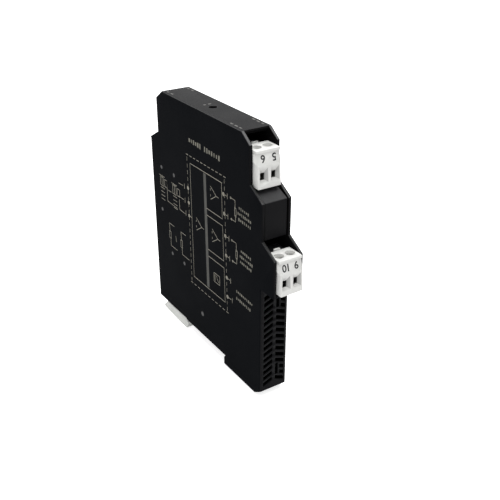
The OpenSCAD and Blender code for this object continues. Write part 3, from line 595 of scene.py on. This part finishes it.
def strokeTree():
    tree, given, out = startTree("inkStroke", (("Stroke", "NodeSocketFloat"), ("Depth", "NodeSocketFloat"),
                                               ("Ink", "NodeSocketMaterial")))
    ends = tree.nodes.new("GeometryNodeInputMeshEdgeVertices")
    run = node(tree, "ShaderNodeVectorMath", operation="SUBTRACT")
    tree.links.new(ends.outputs["Position 2"], run.inputs[0])
    tree.links.new(ends.outputs["Position 1"], run.inputs[1])
    keep = tree.nodes.new("GeometryNodeCaptureAttribute")
    keep.domain = "EDGE"
    keep.capture_items.new("VECTOR", "Run")
    tree.links.new(given.outputs["Geometry"], keep.inputs["Geometry"])
    tree.links.new(run.outputs["Vector"], keep.inputs["Run"])
    spots = tree.nodes.new("GeometryNodeMeshToPoints")
    spots.mode = "EDGES"
    tree.links.new(keep.outputs["Geometry"], spots.inputs["Mesh"])
    length = node(tree, "ShaderNodeVectorMath", operation="LENGTH")
    tree.links.new(keep.outputs["Run"], length.inputs[0])
    bar = tree.nodes.new("GeometryNodeMeshCube")
    bar.inputs["Size"].default_value = (1, 1, 1)
    put = tree.nodes.new("GeometryNodeInstanceOnPoints")
    tree.links.new(spots.outputs["Points"], put.inputs["Points"])
    tree.links.new(bar.outputs["Mesh"], put.inputs["Instance"])
    tree.links.new(turnAlong(tree, keep.outputs["Run"]), put.inputs["Rotation"])
    reach = maths(tree, "ADD", length.outputs["Value"], given.outputs["Stroke"])
    size = sizeOf(tree, given.outputs["Depth"], reach, given.outputs["Stroke"])
    tree.links.new(size, put.inputs["Scale"])
    return endTree(tree, given, put.outputs["Instances"], out)


def dashTree():
    tree, given, out = startTree("inkDashes", (("Dash", "NodeSocketFloat"), ("Pitch", "NodeSocketFloat"),
                                               ("Stroke", "NodeSocketFloat"), ("Depth", "NodeSocketFloat"),
                                               ("Ink", "NodeSocketMaterial")))
    path = tree.nodes.new("GeometryNodeMeshToCurve")
    tree.links.new(given.outputs["Geometry"], path.inputs["Mesh"])
    spots = tree.nodes.new("GeometryNodeCurveToPoints")
    spots.mode = "LENGTH"
    tree.links.new(path.outputs["Curve"], spots.inputs["Curve"])
    tree.links.new(given.outputs["Pitch"], spots.inputs["Length"])
    bar = tree.nodes.new("GeometryNodeMeshCube")
    tree.links.new(sizeOf(tree, given.outputs["Depth"], given.outputs["Dash"], given.outputs["Stroke"]),
                   bar.inputs["Size"])
    put = tree.nodes.new("GeometryNodeInstanceOnPoints")
    tree.links.new(spots.outputs["Points"], put.inputs["Points"])
    tree.links.new(bar.outputs["Mesh"], put.inputs["Instance"])
    tree.links.new(turnAlong(tree, spots.outputs["Tangent"]), put.inputs["Rotation"])
    return endTree(tree, given, put.outputs["Instances"], out)


def dotTree():
    tree, given, out = startTree("inkDots", (("Radius", "NodeSocketFloat"), ("Depth", "NodeSocketFloat"),
                                             ("Ink", "NodeSocketMaterial")))
    disc = tree.nodes.new("GeometryNodeMeshCylinder")
    disc.inputs["Vertices"].default_value = treeSet["dotSides"]
    tree.links.new(given.outputs["Radius"], disc.inputs["Radius"])
    tree.links.new(given.outputs["Depth"], disc.inputs["Depth"])
    put = tree.nodes.new("GeometryNodeInstanceOnPoints")
    put.inputs["Rotation"].default_value = (0, math.pi / 2, 0)
    tree.links.new(given.outputs["Geometry"], put.inputs["Points"])
    tree.links.new(disc.outputs["Mesh"], put.inputs["Instance"])
    return endTree(tree, given, put.outputs["Instances"], out)


def barTree():
    tree, given, out = startTree("inkBars", (("Pitch", "NodeSocketFloat"), ("Height", "NodeSocketFloat"),
                                             ("Depth", "NodeSocketFloat"), ("Seed", "NodeSocketInt"),
                                             ("Ink", "NodeSocketMaterial")))
    path = tree.nodes.new("GeometryNodeMeshToCurve")
    tree.links.new(given.outputs["Geometry"], path.inputs["Mesh"])
    spots = tree.nodes.new("GeometryNodeCurveToPoints")
    spots.mode = "LENGTH"
    tree.links.new(path.outputs["Curve"], spots.inputs["Curve"])
    tree.links.new(given.outputs["Pitch"], spots.inputs["Length"])
    vary = node(tree, "FunctionNodeRandomValue", data_type="FLOAT_VECTOR")
    vary.inputs[0].default_value = treeSet["barLeast"]
    vary.inputs[1].default_value = treeSet["barMost"]
    tree.links.new(given.outputs["Seed"], vary.inputs["Seed"])
    bar = tree.nodes.new("GeometryNodeMeshCube")
    tree.links.new(sizeOf(tree, given.outputs["Depth"], given.outputs["Pitch"], given.outputs["Height"]),
                   bar.inputs["Size"])
    put = tree.nodes.new("GeometryNodeInstanceOnPoints")
    tree.links.new(spots.outputs["Points"], put.inputs["Points"])
    tree.links.new(bar.outputs["Mesh"], put.inputs["Instance"])
    tree.links.new(vary.outputs[0], put.inputs["Scale"])
    return endTree(tree, given, put.outputs["Instances"], out)


def coilTree():
    tree, given, out = startTree("coilSpring", (("Radius", "NodeSocketFloat"), ("Wire", "NodeSocketFloat"),
                                                ("Turns", "NodeSocketFloat"), ("Length", "NodeSocketFloat"),
                                                ("Steps", "NodeSocketInt"), ("Ink", "NodeSocketMaterial")))
    helix = tree.nodes.new("GeometryNodeCurveSpiral")
    for key, label in (("Resolution", "Steps"), ("Rotations", "Turns"), ("Height", "Length"),
                       ("Start Radius", "Radius"), ("End Radius", "Radius")):
        tree.links.new(given.outputs[label], helix.inputs[key])
    lay = node(tree, "GeometryNodeTransform", {"Rotation": (-math.pi / 2, 0, 0)})
    tree.links.new(helix.outputs["Curve"], lay.inputs["Geometry"])
    ring = node(tree, "GeometryNodeCurvePrimitiveCircle", {"Resolution": treeSet["wireSides"]})
    tree.links.new(maths(tree, "MULTIPLY", given.outputs["Wire"], 0.5), ring.inputs["Radius"])
    tube = node(tree, "GeometryNodeCurveToMesh", {"Fill Caps": True})
    tree.links.new(lay.outputs["Geometry"], tube.inputs["Curve"])
    tree.links.new(ring.outputs["Curve"], tube.inputs["Profile Curve"])
    return endTree(tree, given, tube.outputs["Mesh"], out)


trees = {"stroke": strokeTree(), "dash": dashTree(), "dot": dotTree(), "bar": barTree(), "coil": coilTree()}
print("node trees built:", len(trees))


def grown(name, tree, mesh, values):
    obj = bpy.data.objects.new(name, mesh)
    scene.collection.objects.link(obj)
    mod = obj.modifiers.new("grow", "NODES")
    mod.node_group = trees[tree]
    for item in trees[tree].interface.items_tree:
        if item.in_out == "INPUT" and item.name in values:
            mod[item.identifier] = values[item.name]
    return settled(obj, name)


# the latch's spring, a coil of fixed length in the spring node's box
springSet = {"wire": 0.4, "turns": 6.0, "steps": 24, "travel": 3.5}


def latchSpring(s):
    low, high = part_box("latch_spring")
    wire = s["wire"] * mm
    radius = (high.z - low.z - wire) / 2
    length = high.y - low.y
    middle = (low + high) / 2
    coil = grown("latchSpring", "coil", bpy.data.meshes.new("latchSpring"), {
        "Radius": radius, "Wire": wire, "Turns": s["turns"], "Length": length - wire,
        "Steps": s["steps"], "Ink": mats["springSteel"]})
    coil.data.transform(Matrix.Translation((middle.x, low.y + wire / 2, middle.z)))
    place(coil, "housing", "spring_steel", "latch_spring")
    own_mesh(coil)


latchSpring(springSet)
print("spring wound")


# the wiring diagram on the near wall: places are Y and Z in mm
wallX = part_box("side_cover")[0].x
inkSet = {   # mm, apart from the seeds, the count and the shares of the depth in the last line
    "stroke": 0.28, "upright": 0.19, "fine": 0.25, "barrier": 2.1,
    "dotRadius": 0.85, "smallRadius": 0.5, "labelRadius": 0.9, "spotRadius": 1.15,
    "dash": 1.8, "pitch": 3.0, "tick": 1.1, "row": 1.9, "rowCount": 4,
    "titlePitch": 1.75, "titleHeight": 2.4, "titleSeed": 4,
    "notePitch": 1.2, "noteHeight": 1.4, "noteSeed": 9,
    "depth": 0.04, "lift": 0.2, "barrierShare": 0.8,
}
inkDepth = inkSet["depth"] * mm


def onWall(p):
    return (wallX - inkDepth * inkSet["lift"], p[0] * mm, p[1] * mm)


def printed(name, tree, lines, values):
    mesh = bpy.data.meshes.new(name)
    points, edges = [], []
    for line in lines:
        start = len(points)
        points += [onWall(p) for p in line]
        edges += [(start + i, start + i + 1) for i in range(len(line) - 1)]
    mesh.from_pydata(points, edges, [])
    place(grown(name, tree, mesh, values), "housing", "cover_black")


def loop(y0, y1, z0, z1):
    return [(y0, z0), (y1, z0), (y1, z1), (y0, z1), (y0, z0)]


def amplifier(y, z):
    return [[(y + 2.2, z + 2.9), (y - 2.2, z), (y + 2.2, z - 2.9)], [(y - 2.2, z), (y - 4.0, z - 0.1)],
            [(y + 2.4, z + 1.8), (y + 2.4, z + 1.1)], [(y + 2.4, z - 0.9), (y + 2.4, z - 1.6)]]


def tick(y, z):
    return [(y, z - inkSet["tick"]), (y, z + inkSet["tick"])]


def outputLoad(y, high, low):
    upper, lower = high - 3.2, low + 2.4
    return [[(y, high), (y - 3.2, high), (y - 3.3, upper)],
            [(y - 3.5, lower), (y - 3.6, low), (y - 0.6, low)],
            loop(y - 2.9, y - 4.0, lower, upper)]


def transmitter(y, z):
    rows = [z - inkSet["row"] * i for i in range(inkSet["rowCount"])]
    return [[(y + 4.0, z + 6.0), (y - 1.0, z + 6.0)], loop(y + 3.2, y, z + 1.1, z + 5.4),
            [(y + 1.6, z + 5.4), (y + 1.6, z + 1.1)], loop(y - 1.0, y - 3.4, z + 1.4, z + 4.9),
            *([(y + 2.8, row), (y - 0.6, row)] for row in rows)]


frameRows = [[(-17.3, 83.6), (8.7, 83.6)], [(8.5, 28.4), (-18.6, 28.4)], [(-17.3, 67.7), (-4.6, 67.7)],
             [(-4.7, 64.6), (-17.4, 64.6)], [(-17.9, 48.4), (-5.2, 48.4)], [(-5.3, 45.1), (-18.1, 45.1)]]
frameUprights = [[(8.7, 83.6), (8.5, 28.4)], [(-17.0, 83.6), (-17.3, 67.7)], [(-17.4, 64.6), (-17.9, 48.4)],
                 [(-18.1, 45.1), (-18.6, 28.4)]]
fineLines = amplifier(-10.5, 76.1) + amplifier(2.3, 56.7) + amplifier(-11.2, 56.7)
fineLines += outputLoad(-23.9, 79.6, 70.4) + outputLoad(-24.6, 61.0, 51.6)
fineLines += transmitter(34.6, 62.7) + transmitter(22.6, 62.5)
fineLines += [
    loop(-9.5, -14.3, 34.6, 39.0), [(-10.4, 35.2), (-10.4, 38.4)], [(-11.6, 38.2), (-13.2, 35.4)],
    [(-18.4, 79.2), (-20.9, 79.2)], tick(-21.4, 79.3), [(-18.9, 70.7), (-21.2, 70.6)], tick(-21.7, 70.5),
    [(-19.5, 60.8), (-21.8, 60.8)], tick(-22.3, 60.8), [(-19.9, 51.9), (-22.2, 51.8)], tick(-22.7, 51.7),
    [(-20.2, 41.4), (-22.6, 41.3)], tick(-23.2, 41.2), [(-20.6, 32.2), (-23.4, 32.2)], tick(-24.4, 32.2),
    [(19.7, 70.7), (15.8, 70.9)], tick(14.4, 71.0), [(20.4, 64.2), (15.7, 64.2)], tick(14.4, 64.3),
    [(19.8, 62.6), (19.8, 57.8), (14.6, 57.6)], tick(14.0, 58.3), [(11.0, 58.1), (8.7, 58.1)],
    [(31.2, 67.4), (31.4, 57.7), (22.2, 57.4)], [(30.2, 63.5), (27.4, 63.5)],
    [(26.2, 46.6), (31.0, 46.6), (30.6, 42.6)], [(30.1, 38.8), (30.1, 35.0), (24.2, 35.0)],
    loop(31.2, 29.7, 38.9, 42.5), [(25.0, 42.0), (24.6, 39.4)],
    [(15.1, 46.5), (19.7, 46.5), (19.5, 42.5)], [(19.1, 38.4), (19.1, 35.0), (12.7, 35.0)],
    loop(20.2, 18.7, 38.5, 42.3),
]
dashRows = [[(11.0, 86.9), (-19.4, 86.9)], [(10.6, 24.4), (-20.4, 24.2)]]
dashUprights = [[(11.2, 84.9), (10.7, 26.0)], [(-19.2, 84.9), (-20.3, 26.0)]]
dots = [[(11.2, 71.3)], [(11.0, 64.4)], [(11.0, 58.1)], [(-18.4, 79.2)], [(-18.9, 70.7)], [(-19.5, 60.8)],
        [(-19.9, 51.9)], [(-20.2, 41.4)], [(-20.6, 32.2)]]
smallDots = [[(-23.9, 79.6)], [(-24.4, 70.4)], [(-24.6, 61.0)], [(-25.1, 51.6)],
             [(-27.1, 76.4)], [(-27.5, 72.8)], [(-27.9, 57.8)], [(-28.2, 54.0)]]
titleLines = [[(8.4, 94.0), (-0.4, 93.8)], [(-4.2, 93.7), (-15.4, 93.4)]]
noteLines = [[(-30.2, 77.4), (-36.6, 77.0)], [(-29.4, 74.9), (-38.2, 74.5)], [(-30.0, 72.4), (-38.0, 72.0)],
             [(-31.6, 58.9), (-38.2, 58.4)], [(-30.8, 56.4), (-39.4, 55.9)], [(-31.0, 53.9), (-38.6, 53.4)],
             [(-28.0, 38.6), (-39.4, 37.9)], [(-28.0, 35.2), (-38.0, 34.6)]]
labelDots = [[(36.0, 73.0)], [(24.1, 72.9)], [(37.3, 51.4)], [(29.1, 31.2)], [(17.5, 31.0)]]
barrierLine = [[(-3.6, 82.0), (-4.3, 30.2)]]
wallSpot = [[(1.7, 11.7)]]
strokes = {key: inkSet[key] * mm for key in ("stroke", "upright", "fine", "barrier")}
radii = {key: inkSet[key + "Radius"] * mm for key in ("dot", "small", "label", "spot")}
base = {"Depth": inkDepth, "Ink": mats["printInk"]}
dashed = {**base, "Dash": inkSet["dash"] * mm, "Pitch": inkSet["pitch"] * mm}
dim = {"Depth": inkDepth, "Ink": mats["wallSpot"]}
faint = {"Depth": inkDepth, "Ink": mats["printFaint"]}
bold = {"Depth": inkDepth * inkSet["barrierShare"], "Ink": mats["printBar"]}
title = {**faint, "Pitch": inkSet["titlePitch"] * mm, "Height": inkSet["titleHeight"] * mm,
         "Seed": inkSet["titleSeed"]}
notes = {**faint, "Pitch": inkSet["notePitch"] * mm, "Height": inkSet["noteHeight"] * mm,
         "Seed": inkSet["noteSeed"]}
printed("frameRows", "stroke", frameRows, {**base, "Stroke": strokes["stroke"]})
printed("frameUprights", "stroke", frameUprights, {**base, "Stroke": strokes["upright"]})
printed("diagramSymbols", "stroke", fineLines, {**base, "Stroke": strokes["fine"]})
printed("diagramBarrier", "stroke", barrierLine, {**bold, "Stroke": strokes["barrier"]})
printed("dashRows", "dash", dashRows, {**dashed, "Stroke": strokes["stroke"]})
printed("dashUprights", "dash", dashUprights, {**dashed, "Stroke": strokes["upright"]})
printed("diagramDots", "dot", dots, {**base, "Radius": radii["dot"]})
printed("loadDots", "dot", smallDots, {**base, "Radius": radii["small"]})
printed("labelDots", "dot", labelDots, {**dim, "Radius": radii["label"]})
printed("wallSpot", "dot", wallSpot, {**dim, "Radius": radii["spot"]})
printed("titleBars", "bar", titleLines, title)
printed("noteBars", "bar", noteLines, notes)
print("diagram printed")


# marks on the front face
markSet = {"depth": 0.03, "lift": 0.3, "row": 5.0, "width": 0.7}
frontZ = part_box("main_housing")[1].z


def frontMarks(name, rows, s):
    mesh = bpy.data.meshes.new(name)
    bm = bmesh.new()
    z = frontZ + s["depth"] * s["lift"] * mm
    for x, y, width, length in rows:
        box = bmesh.ops.create_cube(bm, size=1)
        bmesh.ops.scale(bm, vec=(width * mm, length * mm, s["depth"] * mm), verts=box["verts"])
        bmesh.ops.translate(bm, vec=(x * mm, y * mm, z), verts=box["verts"])
    bm.to_mesh(mesh)
    bm.free()
    mesh.materials.append(mats["frontInk"])
    obj = bpy.data.objects.new(name, mesh)
    scene.collection.objects.link(obj)
    place(obj, "housing", "housing_black")


lampRows = [(-1.35, 4.2, 1.1, 0.9), (1.0, 4.2, 1.2, 0.9)]   # X, Y, width and length in mm
endMarks = ((29.2, 1.7), (25.6, 2.0), (-22.4, 1.8), (-25.6, 2.1), (-28.6, 1.6))
endRows = [(side * markSet["row"], y, markSet["width"], length)
           for side in (-1, 1) for y, length in endMarks]
frontMarks("lampMark", lampRows, markSet)
frontMarks("terminalMarks", endRows, markSet)
print("front marks done")


# terminal digits on the plugs
digitSet = {
    "bendY": 0.5, "bendZ": 9.1, "collarY": 1.75, "collarZ": 13.7,   # mm, the band that they stand on
    "middleZ": 11.55, "pole": 2.54, "height": 2.95, "weight": 0.085, "depth": 0.04,
    "capShare": 0.72, "spacing": 0.86, "curveSteps": 4, "lift": 0.2,
}


def terminalDigit(name, text, pole, plugNode, body):
    s = digitSet
    font = bpy.data.curves.new(name, "FONT")
    font.body = text
    font.align_x = "CENTER"
    font.align_y = "CENTER"
    font.size = s["height"] / s["capShare"] * mm
    font.space_character = s["spacing"]
    font.extrude = s["depth"] / 2 * mm
    font.resolution_u = s["curveSteps"]
    font.offset = s["weight"] * mm
    holder = bpy.data.objects.new(name + "Text", font)
    scene.collection.objects.link(holder)
    graph = bpy.context.evaluated_depsgraph_get()
    mesh = bpy.data.meshes.new_from_object(holder.evaluated_get(graph), depsgraph=graph)
    mesh.name = name
    bpy.data.objects.remove(holder)
    xs = [v.co.x for v in mesh.vertices]
    ys = [v.co.y for v in mesh.vertices]
    mesh.transform(Matrix.Translation((-(min(xs) + max(xs)) / 2, -(min(ys) + max(ys)) / 2, 0)))
    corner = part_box(plugNode)[0]
    slope = Vector((0, s["collarY"] - s["bendY"], s["collarZ"] - s["bendZ"])).normalized()
    out = Vector((0, -slope.z, slope.y))
    share = (s["middleZ"] - s["bendZ"]) / (s["collarZ"] - s["bendZ"])
    y = s["bendY"] + share * (s["collarY"] - s["bendY"])
    spot = Vector((pole * s["pole"] * mm, corner.y + y * mm, corner.z + s["middleZ"] * mm))
    spot += out * s["depth"] * s["lift"] * mm
    up = -slope
    right = up.cross(out)
    mesh.transform(Matrix.Translation(spot) @ Matrix((right, up, out)).transposed().to_4x4())
    mesh.materials.clear()
    mesh.materials.append(mats["digitInk"])
    obj = bpy.data.objects.new(name, mesh)
    scene.collection.objects.link(obj)
    place(obj, body, "plug_white")


terminalDigit("upperNearDigit", "6", -1, "upper_plug", "upper_plug_body")
terminalDigit("upperFarDigit", "5", 1, "upper_plug", "upper_plug_body")
terminalDigit("lowerNearDigit", "10", -1, "lower_plug", "lower_plug_body")
terminalDigit("lowerFarDigit", "9", 1, "lower_plug", "lower_plug_body")
print("digits set")


# floor and light
stageSet = {"floor": 3.0, "drop": 0.0005, "albedo": 0.82, "shine": 0.74, "world": 0.37}
lampSet = {   # place, aim and size in metres, power in watts
    "topSoftbox": ((0.05, -0.05, 0.75), (0, 0, 0.05), (0.8, 0.8), 8.4),
    "frontSoftbox": ((0.10, -0.90, 0.45), (0, 0, 0.06), (0.7, 0.5), 0.36),
    "sideSoftbox": ((-0.85, -0.45, 0.35), (0, 0, 0.06), (0.6, 0.6), 2.1),
}


def seenWhite(tree):
    path = tree.nodes.new("ShaderNodeLightPath")
    first = maths(tree, "MAXIMUM", path.outputs["Is Camera Ray"], path.outputs["Is Glossy Ray"])
    return maths(tree, "MAXIMUM", first, path.outputs["Is Transmission Ray"])


def makeFloor(s):
    size = s["floor"]
    z = cadBox[0].z - s["drop"]
    corners = [(-size, -size, z), (size, -size, z), (size, size, z), (-size, size, z)]
    mesh = bpy.data.meshes.new("studioFloor")
    mesh.from_pydata(corners, [], [(0, 1, 2, 3)])
    floor = bpy.data.objects.new("studioFloor", mesh)
    scene.collection.objects.link(floor)
    mat, tree, shader = startMaterial("floorWhite")[:3]
    shader.inputs["Base Color"].default_value = (s["albedo"],) * 3 + (1,)
    shader.inputs["Roughness"].default_value = 1
    shader.inputs["Specular IOR Level"].default_value = 0
    glow = node(tree, "ShaderNodeEmission", {"Color": (1, 1, 1, 1)})
    tree.links.new(maths(tree, "MULTIPLY", seenWhite(tree), s["shine"]), glow.inputs["Strength"])
    both = tree.nodes.new("ShaderNodeAddShader")
    tree.links.new(shader.outputs["BSDF"], both.inputs[0])
    tree.links.new(glow.outputs["Emission"], both.inputs[1])
    tree.links.new(both.outputs["Shader"], tree.nodes["Material Output"].inputs["Surface"])
    mesh.materials.append(mat)


def makeWorld(s):
    world = bpy.data.worlds.new("softStudio")
    world.use_nodes = True
    scene.world = world
    tree = world.node_tree
    back = tree.nodes["Background"]
    back.inputs["Color"].default_value = (1, 1, 1, 1)
    level = maths(tree, "MULTIPLY", seenWhite(tree), 1 - s["world"])
    tree.links.new(maths(tree, "ADD", level, s["world"]), back.inputs["Strength"])


def makeLamp(name, spot, aim, size, power):
    data = bpy.data.lights.new(name, "AREA")
    data.shape = "RECTANGLE"
    data.size, data.size_y = size
    data.energy = power
    lamp = bpy.data.objects.new(name, data)
    scene.collection.objects.link(lamp)
    lamp.location = spot
    lamp.rotation_mode = "QUATERNION"
    lamp.rotation_quaternion = (Vector(aim) - Vector(spot)).to_track_quat("-Z", "Y")


makeFloor(stageSet)
makeWorld(stageSet)
for name, (spot, aim, size, power) in lampSet.items():
    makeLamp(name, spot, aim, size, power)
print("floor and light set")
